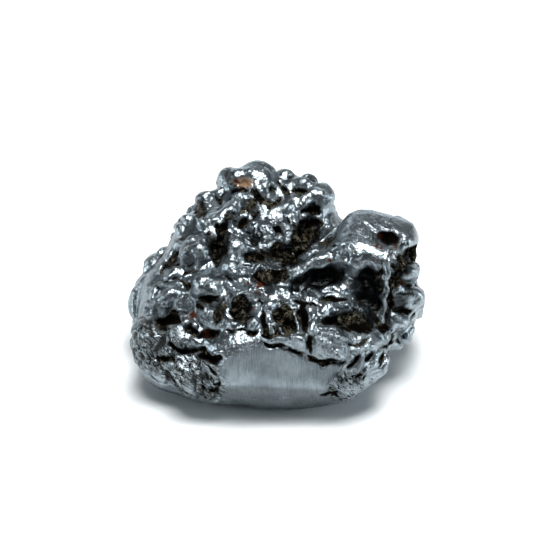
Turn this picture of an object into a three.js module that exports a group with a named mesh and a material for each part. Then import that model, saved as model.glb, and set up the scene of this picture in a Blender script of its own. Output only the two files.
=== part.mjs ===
// An iron meteorite: one solid nodule, knobbed and pitted all over, with a smooth pressed face in front.
// Millimetres, +Z up. The origin is on the table, under the middle of the stone.
// Its skin is where a distance field is zero. The field is a bare body of soft masses, to which knobs and
// ridges are added and from which hollows are cut. A closed grid wraps the body, and settles on the field
// while the forms grow to full size.
import * as THREE from "three";
import { mergeVertices } from "three/addons/utils/BufferGeometryUtils.js";

const gridSquares = 28; // along each edge of the six sheets that wrap the stone
const growthStages = 6;
const stagePasses = 3;
const finishingPasses = 8;
const healingPasses = 6;
const longestStep = 0.6; // that a corner of the skin takes in one pass
const strayGap = 0.35; // a corner further than this from the skin is drawn in by its neighbours
const evening = 0.5; // share of the way to the middle of its neighbours that a corner slides in one pass
const tipPasses = 4; // passes in which a corner that stands out of its neighbours gives way
const tipHeight = 0.32; // how far a corner may stand out
const swelling = 0.35; // makes up for what the loss of tips and the rounding take off the knobs
const rounding = 0.35; // share of the way to the middle of its neighbours that a corner goes at the end

const heart = new THREE.Vector3(0, -1, 10); // every line from here meets the bare body once
const crowded = new THREE.Vector3(0, -0.08, 0.3); // corners stand closer on this side
// The middle of the stone's box, on the table, before it is moved to the origin.
const middle = new THREE.Vector3(-0.485, -0.15, 0);
const bodyBlend = 3; // reach of the fillet between masses

// The bare body: centre, half sizes, turn about X, Y and Z in degrees, and how square, from 2 for an egg
// to 4 for a soft block.
const masses = [
  { at: [0, -1, 9.5], size: [20, 16, 10.5] }, // core
  { at: [2, -11.6, 8.6], size: [14.9, 9.5, 8.8] }, // belly
  { at: [-2.5, -12.4, 9.2], size: [9, 7.6, 6.0], square: 3 }, // shoulder of the belly
  { at: [-3, 2, 13.3], size: [15.5, 16, 7], turn: [20, 0, 0] }, // slope up to the crown
  { at: [-0.2, 13, 18.3], size: [8.8, 5.6, 6.8], square: 2.3 }, // crown
  { at: [-4.2, 13.8, 20.6], size: [4.4, 3.9, 5.2], square: 2.2 }, // top of the crown
  { at: [14.9, 0.9, 16.9], size: [6.6, 6.7, 7.6], turn: [6, 13, -8], square: 4 }, // anvil
  { at: [7.0, -2.2, 16.9], size: [7.0, 2.9, 3.5], turn: [0, -27, -5], square: 2.6 }, // wedge left of it
  { at: [15.2, -3.7, 16.9], size: [4.4, 4.3, 5.2], turn: [0, 24, 0], square: 2.4 }, // lobe before it
  { at: [17.2, -1.4, 11.3], size: [5.5, 7.2, 6.3] }, // right flank
  { at: [-15.6, -7.3, 6.4], size: [7.1, 7.7, 6.3], square: 2.2 }, // left front corner
  { at: [-10.5, -10.5, 5.2], size: [6, 6.3, 5.4] }, // between the corner and the belly
  { at: [-17.4, 0.4, 9.6], size: [5.2, 8, 6.6] }, // left flank
  { at: [-10.6, 7.6, 14.6], size: [6, 7, 8.2] }, // left back
  { at: [4.5, 9.5, 12.5], size: [7.5, 6, 9] }, // right back
];

// Flats pressed into it: a point on each, the way it faces, and how soft its rim is.
const flats = [
  { at: [0, -19.8, 8], facing: [0.06, -0.966, 0.255], rim: 1.2 }, // front face
  { at: [0, -19.6, 7.6], facing: [0, -0.92, -0.38], rim: 1.2 }, // band under it
];

// Forms are placed as an eye sees them: so far across and so far up, in the plane through the aim point
// that faces the eye. Knobs and hollows are eggs: place across and up, half sizes across, up and towards
// the eye, turn in degrees, and how proud or deep. Ridges are round strips along a path. The fillet at the
// foot of a form is its narrowest half size times the layer's fillet.
const aim = new THREE.Vector3(-1.3, 1.55, 15.4);
const eyeDistance = 300;
const formSquare = 2.4;
const formFillet = 0.8;

const broadForms = {
  knobs: [
    [-3.0, 14.2, 3.4, 2.6, 3.0, 0, 0.6], // crown
    [-2.1, 15.4, 2.3, 2.1, 2.5, 0, 1.3],
    [-6.7, 14.1, 1.9, 2.6, 2.6, 12, 1.1],
    [4.9, 13.7, 1.7, 1.5, 2.3, 0, 1.4],
    [7.9, 11.5, 2.5, 2.2, 3.0, -20, 2.5], // bulb
    [-10.2, 10.9, 1.8, 2.0, 2.5, 8, 1.6],
    [-11.6, 2.5, 2.7, 2.7, 3, 0, 2.5], // dark boulder
    [-5.6, 2.7, 1.9, 3.1, 2.8, 8, 1.8], // left wall of the valley
    [-4.9, -0.5, 2.5, 1.2, 2.2, -12, 1.2],
    [-10.1, -2.7, 2.6, 1.8, 2.8, -8, 2.6], // egg
    [-17.0, -5.1, 4.0, 1.8, 2.8, 38, 1.7], // shoulder over the left corner
    [-21.2, -4.4, 1.6, 4.0, 3, -22, 0.8],
    [-19.3, -11.6, 2.9, 4.0, 3.3, 6, 1.1], // left corner
    [-13.2, -10.8, 2.9, 2.2, 2.8, -20, 1.7], // tongue
    [-12.2, -17.2, 4.9, 2.0, 2.8, -38, 1.7], // lower tongue
    [-9.5, -7.1, 2.2, 1.7, 2.2, -6, 1.3], // stack of slabs
    [22.5, -4.6, 2.4, 2.0, 2.8, -10, 1.9], // right stack
    [22.0, -0.2, 2.2, 1.7, 2.6, -30, 1.6],
    [20.5, -8.0, 1.8, 1.6, 2.2, 10, 1.4],
    [10.2, -11.2, 2.6, 2.0, 2.6, -12, 1.0], // ribbed mound
    [2.2, -4.0, 2.4, 1.1, 2, 4, 0.9], // shelf over the front hollows
  ],
  hollows: [
    [2.4, 3.6, 4.0, 3.2, 4.2, -28, 1.6], // valley
    [0.6, -0.8, 2.8, 1.3, 2.6, 8, 1.2],
    [6.4, 7.0, 2.1, 3.1, 3.2, -14, 1.8], // cave under the bulb
    [7.9, -1.4, 5.0, 2.2, 5.0, 17, 1.9], // dark facet left of the anvil's rib
    [15.7, -2.9, 3.0, 4.4, 6.0, 6, 1.7], // facet right of it
    [-4.5, -6.0, 2.1, 2.4, 2.8, 0, 1.6],
    [2.0, -7.9, 2.0, 2.8, 2.8, 8, 1.6],
    [11.6, -8.1, 3.2, 1.1, 2.6, -3, 1.3],
    [19.1, 4.9, 2.2, 1.5, 3.0, -8, 2.4], // cave with rust
    [23.4, 2.4, 2.0, 1.5, 7.0, 0, 7.0], // notch between the anvil and the right stack
    [-16.2, -8.0, 2.6, 1.3, 2.6, 14, 1.7],
    [-10.0, -14.0, 2.2, 1.0, 2.2, -12, 1.5],
  ],
  ridges: [
    { radius: 1.0, proud: 0.5, path: [[3.0, -1.3], [6, 0.3], [9.3, 1.9]] }, // crest of the wedge
    {
      radius: 0.9,
      proud: 0.6,
      path: [[-0.2, -11.2], [3, -11.9], [5.8, -12.3]],
    }, // brow over the front face
    {
      radius: 1.3,
      proud: 0.9,
      path: [[8.3, -12.1], [10.8, -13.2], [13, -12.5], [15.2, -11.7], [17.8, -11.1]],
    },
  ],
};

const smallerForms = {
  knobs: [
    [-0.8, 13.6, 1.4, 1.3, 1.8, 0, 0.9],
    [-5.4, 15.5, 1.2, 1.2, 1.5, 0, 0.5],
    [-13.1, 8.0, 1.2, 1.4, 1.6, 20, 0.8],
    [-4.5, 11.4, 1.6, 1.3, 1.8, 30, 1.0],
    [-19.0, 1.0, 1.2, 2.2, 1.8, -12, 0.8],
    [-22, -7.2, 1.2, 2.8, 2, 0, 0.6],
    [-5, -6.4, 1.3, 1.7, 1.5, 0, 1.0], // boulder in the pit
    [-0.1, 3.6, 1.3, 1.2, 1.5, 0, 0.9],
    [21.7, -10.3, 1.4, 1.2, 1.8, 0, 1.1],
    [-18.0, -16.9, 2.8, 1.2, 1.8, -30, 0.5],
  ],
  hollows: [
    [1.3, 6.7, 1.0, 1.0, 1.6, 0, 1.1],
    [2.5, -8.6, 1.1, 1.6, 1.6, 8, 0.8],
    [13.6, -6.6, 2.2, 1.0, 1.6, 0, 0.6],
  ],
  ridges: [
    { radius: 1.2, proud: 1.0, path: [[-2.0, 7.0], [0.5, 8.7], [3, 10.0], [5.6, 10.9]] },
    {
      radius: 0.9,
      proud: 0.8,
      path: [[-0.9, 5.2], [-0.3, 6.9], [0.8, 7.9], [2.0, 7.5], [3.0, 6.3], [3.9, 4.6]],
    }, // horseshoe
    { radius: 1.0, proud: 0.8, path: [[-10.5, 7.4], [-8.5, 8.2], [-6.3, 9.4], [-4.8, 11.0]] },
    { radius: 0.9, proud: 0.7, path: [[-15.4, -16.6], [-12.4, -18.9], [-9.8, -20.6]] },
  ],
};

// An eye at that azimuth and elevation. Its plane is rolled, and its places scaled, so that the same forms
// lie differently on each side of the stone.
function eyeAt(azimuth, elevation, roll = 0, scale = 1) {
  const [side, tip, lean] = [azimuth, elevation, roll].map(THREE.MathUtils.degToRad);
  const level = Math.cos(tip);
  const towards = new THREE.Vector3(Math.sin(side) * level, -Math.cos(side) * level, Math.sin(tip));
  const right = new THREE.Vector3(Math.cos(side), Math.sin(side), 0).applyAxisAngle(towards, lean);
  const up = towards.clone().cross(right);
  const at = aim.clone().addScaledVector(towards, eyeDistance);
  return { at, right, up, towards, scale };
}

const frontEye = eyeAt(0, 35);
const hiddenEyes = [eyeAt(176, 8, 168, 0.95), eyeAt(97, -4, 80), eyeAt(262, 2, -75)];

// The lower of two distances, with a fillet of the given reach where they meet.
function softMin(a, b, reach) {
  const h = Math.max(reach - Math.abs(a - b), 0);
  return Math.min(a, b) - (h * h) / (4 * reach);
}

// An egg's distance is (k - 1) over the slope of k, where k, a power mean, is 1 on its skin.
function eggDistance(point, at, axes, size, square) {
  let k = 0;
  let slope = 0;
  axes.forEach((axis, i) => {
    const along = (point.x - at.x) * axis.x + (point.y - at.y) * axis.y + (point.z - at.z) * axis.z;
    const share = Math.abs(along / size[i]) ** (square - 1);
    k += share * Math.abs(along / size[i]);
    slope += (share / size[i]) ** 2;
  });
  k = Math.max(k, 1e-9) ** (1 / square);
  return (k - 1) / Math.max(Math.sqrt(slope) / k ** (square - 1), 1e-3);
}

const bodyParts = masses.map(({ at, size, turn = [0, 0, 0], square = 2 }) => {
  const turned = new THREE.Euler(...turn.map(THREE.MathUtils.degToRad), "ZYX");
  const axes = [0, 1, 2].map((i) => new THREE.Vector3().setComponent(i, 1).applyEuler(turned));
  return { at: new THREE.Vector3(...at), size, axes, square };
});

const flatParts = flats.map(({ at, facing, rim }) => ({
  at: new THREE.Vector3(...at),
  facing: new THREE.Vector3(...facing).normalize(),
  rim,
}));

function bodyField(point) {
  const gaps = bodyParts.map(({ at, axes, size, square }) => eggDistance(point, at, axes, size, square));
  let field = gaps.reduce((a, b) => softMin(a, b, bodyBlend));
  for (const { at, facing, rim } of flatParts) {
    field = -softMin(-field, at.dot(facing) - point.dot(facing), rim);
  }
  return field;
}

// Moves a place by slow sine waves, so that no form is a true egg or a straight strip.
function wavy({ x, y, z }) {
  const [slow, quick, far] = [1.45, 2.3, 0.2];
  return new THREE.Vector3(
    x + far * (Math.sin(slow * y + 1.3) + Math.sin(quick * z + 0.4)),
    y + far * (Math.sin(slow * z + 2.1) + Math.sin(quick * x + 5.0)),
    z + far * (Math.sin(slow * x + 3.7) + Math.sin(quick * y + 0.9)),
  );
}

// The field with every form at its share of full size.
function fieldAt(point, forms, grown = 1) {
  const swayed = wavy(point);
  let field = bodyField(point);
  for (const form of forms) {
    if (point.distanceTo(form.middle) > form.span + form.reach + 1) continue;
    const gap = form.distance(swayed, grown);
    field = form.cut ? -softMin(-field, gap, form.reach) : softMin(field, gap, form.reach);
  }
  return field;
}

function slopeAt(point, forms) {
  const step = 0.1;
  const slope = new THREE.Vector3();
  for (const i of [0, 1, 2]) {
    const axis = new THREE.Vector3().setComponent(i, step);
    const ahead = fieldAt(point.clone().add(axis), forms);
    const behind = fieldAt(point.clone().sub(axis), forms);
    slope.setComponent(i, ahead - behind);
  }
  return slope.normalize();
}

// Walks down the line of sight to the skin. A line that misses goes from where it passes nearest.
function seatOf([placeAcross, placeUp], forms, eye) {
  const sight = aim
    .clone()
    .addScaledVector(eye.right, placeAcross * eye.scale)
    .addScaledVector(eye.up, placeUp * eye.scale)
    .sub(eye.at)
    .normalize();
  let gone = eyeDistance - 28;
  let best = gone;
  let nearest = Infinity;
  for (let step = 0; step < 40; step++) {
    const gap = fieldAt(eye.at.clone().addScaledVector(sight, gone), forms);
    if (gap < nearest) [nearest, best] = [gap, gone];
    if (gap > 0.01) gone += Math.max(0.75 * gap, 0.02);
  }
  const point = eye.at.clone().addScaledVector(sight, best);
  const slope = slopeAt(point, forms);
  return { point: point.addScaledVector(slope, -Math.max(nearest, 0)), miss: nearest, slope };
}

// The front eye places everything. The others place what they face most, where the front eye sees nothing.
function belongs({ point, miss, slope }, eye) {
  if (eye === frontEye) return miss < 1.5;
  const seen = slope.dot(frontEye.at.clone().sub(point).normalize());
  const mostFaced = hiddenEyes.every((other) => slope.dot(other.towards) <= slope.dot(eye.towards) + 1e-9);
  const onFace = point.y < -12 && Math.abs(point.x - 2) < 14;
  return miss < 0.1 && seen < -0.12 && mostFaced && point.z > 1 && !onFace;
}

function eggForm([placeAcross, placeUp, ...shape], cut, before, eye) {
  const seat = seatOf([placeAcross, placeUp], before, eye);
  if (!belongs(seat, eye)) return [];
  const [halfAcross, halfUp, halfDeep, turn, proud] = shape;
  const size = [halfAcross, halfUp, halfDeep].map((half) => half * eye.scale);
  const angle = THREE.MathUtils.degToRad(turn);
  const straight = [eye.right, eye.up, eye.towards];
  const axes = straight.map((axis) => axis.clone().applyAxisAngle(eye.towards, angle));
  const lift = (cut ? halfDeep - proud : proud - halfDeep) * eye.scale;
  const at = seat.point.addScaledVector(eye.towards, lift);
  return [
    {
      middle: at,
      span: 1.2 * Math.max(...size),
      reach: formFillet * Math.min(...size),
      cut,
      distance: (point, grown) =>
        eggDistance(point, at, axes, size.map((half) => half * grown), formSquare),
    },
  ];
}

function ridgeForms({ radius, proud, path }, before, eye) {
  const seats = path.map((place) => seatOf(place, before, eye));
  if (!seats.every((seat) => belongs(seat, eye))) return [];
  const thick = radius * eye.scale;
  const stops = seats.map((seat) => seat.point.addScaledVector(eye.towards, (proud - radius) * eye.scale));
  return stops.slice(1).map((end, i) => {
    const line = new THREE.Line3(stops[i], end);
    const closest = new THREE.Vector3();
    return {
      middle: line.getCenter(new THREE.Vector3()),
      span: line.distance() / 2 + thick,
      reach: formFillet * thick,
      cut: false,
      distance(point, grown) {
        line.closestPointToPoint(point, true, closest);
        return closest.distanceTo(point) - thick * grown;
      },
    };
  });
}

// Each layer is seated on the forms before it.
let forms = [];
for (const { knobs, hollows, ridges } of [broadForms, smallerForms]) {
  const before = forms;
  const added = [...hiddenEyes, frontEye].flatMap((eye) => [
    ...knobs.flatMap((row) => eggForm(row, false, before, eye)),
    ...hollows.flatMap((row) => eggForm(row, true, before, eye)),
    ...ridges.flatMap((ridge) => ridgeForms(ridge, before, eye)),
  ]);
  forms = [...before, ...added];
}

// Halves the stretch between the heart and a point outside until it ends on the bare body.
function bareSkin(direction) {
  const point = new THREE.Vector3();
  let inside = 0;
  let outside = 40;
  for (let step = 0; step < 22; step++) {
    const half = (inside + outside) / 2;
    point.copy(heart).addScaledVector(direction, half);
    if (bodyField(point) < 0) inside = half;
    else outside = half;
  }
  return point;
}

// A cube's grid, spaced so that it is even on a ball and then crowded, drawn in to the bare body.
function wrappedGrid() {
  const box = new THREE.BoxGeometry(2, 2, 2, gridSquares, gridSquares, gridSquares);
  box.deleteAttribute("normal");
  box.deleteAttribute("uv");
  const sheet = mergeVertices(box, 1e-4);
  const places = sheet.attributes.position;
  const direction = new THREE.Vector3();
  for (let i = 0; i < places.count; i++) {
    direction.fromBufferAttribute(places, i);
    direction.set(...direction.toArray().map((v) => Math.tan((v * Math.PI) / 4))).normalize();
    direction.add(crowded).normalize();
    places.setXYZ(i, ...bareSkin(direction).toArray());
  }
  return sheet;
}

// For each corner, the corners that share an edge with it.
function neighboursOf(sheet) {
  const neighbours = Array.from({ length: sheet.attributes.position.count }, () => []);
  const corners = sheet.index.array;
  for (let i = 0; i < corners.length; i += 3) {
    const [a, b, c] = corners.slice(i, i + 3);
    neighbours[a].push(b);
    neighbours[b].push(c);
    neighbours[c].push(a);
  }
  return neighbours;
}

function driftOf(point, others, points) {
  const drift = new THREE.Vector3();
  for (const other of others) drift.add(points[other]);
  return drift.divideScalar(others.length).sub(point);
}

// One pass of the skin: each corner steps along its own direction onto the field, then slides sideways
// towards the middle of its neighbours. When healing, a corner that is astray goes to that middle instead.
function settle(sheet, neighbours, grown, healing = false) {
  sheet.computeVertexNormals();
  const places = sheet.attributes.position;
  const outward = sheet.attributes.normal;
  const points = neighbours.map((_, i) => new THREE.Vector3().fromBufferAttribute(places, i));
  const normals = neighbours.map((_, i) => new THREE.Vector3().fromBufferAttribute(outward, i));
  const astray = points.map((point, i) => {
    const gap = fieldAt(point, forms, grown) - swelling;
    if (healing && Math.abs(gap) > strayGap) return true;
    point.addScaledVector(normals[i], -THREE.MathUtils.clamp(gap, -longestStep, longestStep));
    return false;
  });
  points.forEach((point, i) => {
    const drift = driftOf(point, neighbours[i], points);
    if (!astray[i]) drift.projectOnPlane(normals[i]).multiplyScalar(evening);
    places.setXYZ(i, ...point.clone().add(drift).toArray());
  });
}

// A corner that stands out of its neighbours, or lies below them, by more than the tip height gives way.
function loseTips(sheet, neighbours) {
  sheet.computeVertexNormals();
  const places = sheet.attributes.position;
  const outward = sheet.attributes.normal;
  const points = neighbours.map((_, i) => new THREE.Vector3().fromBufferAttribute(places, i));
  points.forEach((point, i) => {
    const drift = driftOf(point, neighbours[i], points);
    const height = Math.abs(drift.dot(new THREE.Vector3().fromBufferAttribute(outward, i)));
    const share = 0.6 * THREE.MathUtils.smoothstep(height, tipHeight, 2 * tipHeight);
    places.setXYZ(i, ...point.clone().addScaledVector(drift, share).toArray());
  });
}

function grownStone() {
  const sheet = wrappedGrid();
  const neighbours = neighboursOf(sheet);
  for (let stage = 1; stage <= growthStages; stage++) {
    const passes = stage < growthStages ? stagePasses : finishingPasses;
    for (let pass = 0; pass < passes; pass++) settle(sheet, neighbours, stage / growthStages);
  }
  for (let pass = 0; pass < healingPasses; pass++) settle(sheet, neighbours, 1, true);
  for (let pass = 0; pass < tipPasses; pass++) loseTips(sheet, neighbours);

  const places = sheet.attributes.position;
  const points = neighbours.map((_, i) => new THREE.Vector3().fromBufferAttribute(places, i));
  points.forEach((point, i) => {
    const rounded = point.clone().addScaledVector(driftOf(point, neighbours[i], points), rounding);
    // What would go below the table is pressed flat: the stone rests on it.
    places.setXYZ(i, rounded.x - middle.x, rounded.y - middle.y, Math.max(rounded.z, 0));
  });
  return sheet;
}

const iron = new THREE.MeshStandardMaterial({ color: 0x5c6265, roughness: 0.3, metalness: 1 });
const stone = new THREE.Mesh(grownStone(), iron);
stone.name = "meteorite";

const group = new THREE.Group();
group.add(stone);

export default group;
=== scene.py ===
import bpy
import numpy as np
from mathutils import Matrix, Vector


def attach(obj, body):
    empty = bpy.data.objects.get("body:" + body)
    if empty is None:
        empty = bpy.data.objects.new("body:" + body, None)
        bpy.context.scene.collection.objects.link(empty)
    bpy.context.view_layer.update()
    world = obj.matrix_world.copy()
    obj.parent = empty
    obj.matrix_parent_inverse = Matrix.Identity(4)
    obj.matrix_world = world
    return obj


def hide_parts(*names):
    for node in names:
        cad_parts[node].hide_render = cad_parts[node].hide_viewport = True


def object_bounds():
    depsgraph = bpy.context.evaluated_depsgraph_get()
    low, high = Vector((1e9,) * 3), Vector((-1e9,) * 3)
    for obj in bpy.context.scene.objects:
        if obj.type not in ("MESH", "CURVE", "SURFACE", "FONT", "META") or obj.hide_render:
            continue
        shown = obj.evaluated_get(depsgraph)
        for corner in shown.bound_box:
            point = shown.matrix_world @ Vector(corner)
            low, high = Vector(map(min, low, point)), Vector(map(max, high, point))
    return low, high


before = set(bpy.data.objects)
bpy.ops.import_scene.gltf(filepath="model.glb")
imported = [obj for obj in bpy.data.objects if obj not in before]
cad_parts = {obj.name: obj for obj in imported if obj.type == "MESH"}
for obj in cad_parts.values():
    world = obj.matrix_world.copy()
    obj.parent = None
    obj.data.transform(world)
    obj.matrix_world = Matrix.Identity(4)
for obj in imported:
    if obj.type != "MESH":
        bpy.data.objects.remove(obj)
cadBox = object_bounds()
mm = 0.001

# Forms are placed as an eye sees them: so far across and so far up, in millimetres, in the plane
# through the aim point that faces the eye. The front eye stands where the photo was taken.
aimPoint = np.array((-1.3, 1.55, 15.4))
eyeDistance = 300.0
pictureWidth = 540 * 0.161


def eyeAt(azimuth, elevation, roll=0, scale=1):
    side, tip, lean = np.radians((azimuth, elevation, roll))
    right = np.array((np.cos(side), np.sin(side), 0))
    towards = np.array((np.sin(side) * np.cos(tip), -np.cos(side) * np.cos(tip), np.sin(tip)))
    up = np.cross(towards, right)
    rolled = np.cos(lean) * right + np.sin(lean) * up
    at = aimPoint + towards * eyeDistance
    return dict(at=at, right=rolled, up=np.cross(towards, rolled), towards=towards, scale=scale)


frontEye = eyeAt(0, 35)
hiddenEyes = [eyeAt(176, 8, roll=168, scale=0.95), eyeAt(97, -4, roll=80), eyeAt(262, 2, roll=-75)]

body = dict(
    heart=(0, -1, 10),
    crowded=(0, -0.08, 0.3),
    middle=(-0.485, -0.15, 0),
    blend=3.0,
    # place, half sizes, turn about X, Y and Z in degrees, and how square: 2 is an egg, 4 a soft block
    masses=[
        ((0, -1, 9.5), (20, 16, 10.5), (0, 0, 0), 2),  # core
        ((2, -11.6, 8.6), (14.9, 9.5, 8.8), (0, 0, 0), 2),  # belly
        ((-2.5, -12.4, 9.2), (9, 7.6, 6), (0, 0, 0), 3),  # shoulder of the belly
        ((-3, 2, 13.3), (15.5, 16, 7), (20, 0, 0), 2),  # slope up to the crown
        ((-0.2, 13, 18.3), (8.8, 5.6, 6.8), (0, 0, 0), 2.3),  # crown
        ((-4.2, 13.8, 20.6), (4.4, 3.9, 5.2), (0, 0, 0), 2.2),  # top of the crown
        ((14.9, 0.9, 16.9), (6.6, 6.7, 7.6), (6, 13, -8), 4),  # anvil
        ((7, -2.2, 16.9), (7, 2.9, 3.5), (0, -27, -5), 2.6),  # wedge left of it
        ((15.2, -3.7, 16.9), (4.4, 4.3, 5.2), (0, 24, 0), 2.4),  # lobe before it
        ((17.2, -1.4, 11.3), (5.5, 7.2, 6.3), (0, 0, 0), 2),  # right flank
        ((-15.6, -7.3, 6.4), (7.1, 7.7, 6.3), (0, 0, 0), 2.2),  # left front corner
        ((-10.5, -10.5, 5.2), (6, 6.3, 5.4), (0, 0, 0), 2),  # between the corner and the belly
        ((-17.4, 0.4, 9.6), (5.2, 8, 6.6), (0, 0, 0), 2),  # left flank
        ((-10.6, 7.6, 14.6), (6, 7, 8.2), (0, 0, 0), 2),  # left back
        ((4.5, 9.5, 12.5), (7.5, 6, 9), (0, 0, 0), 2),  # right back
    ],
    # flats pressed into it: a point on each, which way it faces, and how soft its rim is
    flats=[
        ((0, -19.8, 8), (0.06, -0.966, 0.255), 1.2),  # front face
        ((0, -19.6, 7.6), (0, -0.92, -0.38), 1.2),  # band under it
    ],
)

# Forms as they are seen: across, up, half sizes across, up and towards the eye, turn, and how proud
# or deep. Ridges and grooves are radius, how proud or deep, and the places they run through.
# The fillet at the foot of a form is its least half size times the layer's fillet.
broad = dict(
    fillet=0.6,
    square=2.4,
    knobs=[
        (-3, 14.2, 3.4, 2.6, 3, 0, 0.6),  # crown
        (-2.1, 15.4, 2.3, 2.1, 2.5, 0, 1.3), (-6.7, 14.1, 1.9, 2.6, 2.6, 12, 1.1),
        (4.9, 13.7, 1.7, 1.5, 2.3, 0, 1.4),
        (7.9, 11.5, 2.5, 2.2, 3, -20, 2.5),  # bulb
        (-10.2, 10.9, 1.8, 2, 2.5, 8, 1.6),
        (-11.6, 2.5, 2.7, 2.7, 3, 0, 2.5),  # dark boulder
        (-5.6, 2.7, 1.9, 3.1, 2.8, 8, 1.8),  # left wall of the valley
        (-4.9, -0.5, 2.5, 1.2, 2.2, -12, 1.2),
        (-10.1, -2.7, 2.6, 1.8, 2.8, -8, 2.6),  # egg
        (-17, -5.1, 4, 1.8, 2.8, 38, 1.7),  # shoulder over the left corner
        (-21.2, -4.4, 1.6, 4, 3, -22, 0.8),
        (-19.3, -11.6, 2.9, 4, 3.3, 6, 1.1),  # left corner
        (-13.2, -10.8, 2.9, 2.2, 2.8, -20, 1.7),  # tongue
        (-12.2, -17.2, 4.9, 2, 2.8, -38, 1.7),  # lower tongue
        (-9.5, -7.1, 2.2, 1.7, 2.2, -6, 1.3),  # stack of slabs
        (22.5, -4.6, 2.4, 2, 2.8, -10, 1.9),  # right stack
        (22, -0.2, 2.2, 1.7, 2.6, -30, 1.6), (20.5, -8, 1.8, 1.6, 2.2, 10, 1.4),
        (10.2, -11.2, 2.6, 2, 2.6, -12, 1),  # ribbed mound
        (2.2, -4, 2.4, 1.1, 2, 4, 0.9),  # shelf over the front hollows
    ],
    hollows=[
        (2.4, 3.6, 4, 3.2, 4.2, -28, 1.6),  # valley
        (0.6, -0.8, 2.8, 1.3, 2.6, 8, 1.2),
        (6.4, 7, 2.1, 3.1, 3.2, -14, 1.8),  # cave under the bulb
        (7.9, -1.4, 5, 2.2, 5, 17, 1.9),  # dark facet left of the anvil's rib
        (15.7, -2.9, 3, 4.4, 6, 6, 1.7),  # facet right of it
        (-4.5, -6, 2.1, 2.4, 2.8, 0, 1.6), (2, -7.9, 2, 2.8, 2.8, 8, 1.6),
        (11.6, -8.1, 3.2, 1.1, 2.6, -3, 1.3), (-8.5, 4, 0.9, 3.3, 2.2, 0, 1.1),
        (19.1, 4.9, 2.2, 1.5, 3, -8, 2.4),  # cave with rust
        (23.4, 2.4, 2, 1.5, 7, 0, 7),  # notch between the anvil and the right stack
        (-16.2, -8, 2.6, 1.3, 2.6, 14, 1.7), (-10, -14, 2.2, 1, 2.2, -12, 1.5),
        (-9.8, -10.3, 1.6, 0.9, 2.2, 8, 1.3), (19.9, -2.4, 0.9, 2.6, 2.2, -6, 1),
        (22.2, -2.4, 2.2, 0.6, 1.6, -8, 0.9),
    ],
    ridges=[
        (1, 0.5, [(3, -1.3), (6, 0.3), (9.3, 1.9)]),  # crest of the wedge
        (0.7, 0.4, [(18.8, 0), (18.7, -3.4), (18.1, -7.6)]),
        (0.9, 0.6, [(-0.2, -11.2), (3, -11.9), (5.8, -12.3)]),  # brow over the front face
        (1.3, 0.9, [(8.3, -12.1), (10.8, -13.2), (13, -12.5), (15.2, -11.7), (17.8, -11.1)]),
    ],
    grooves=[],
)

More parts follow.
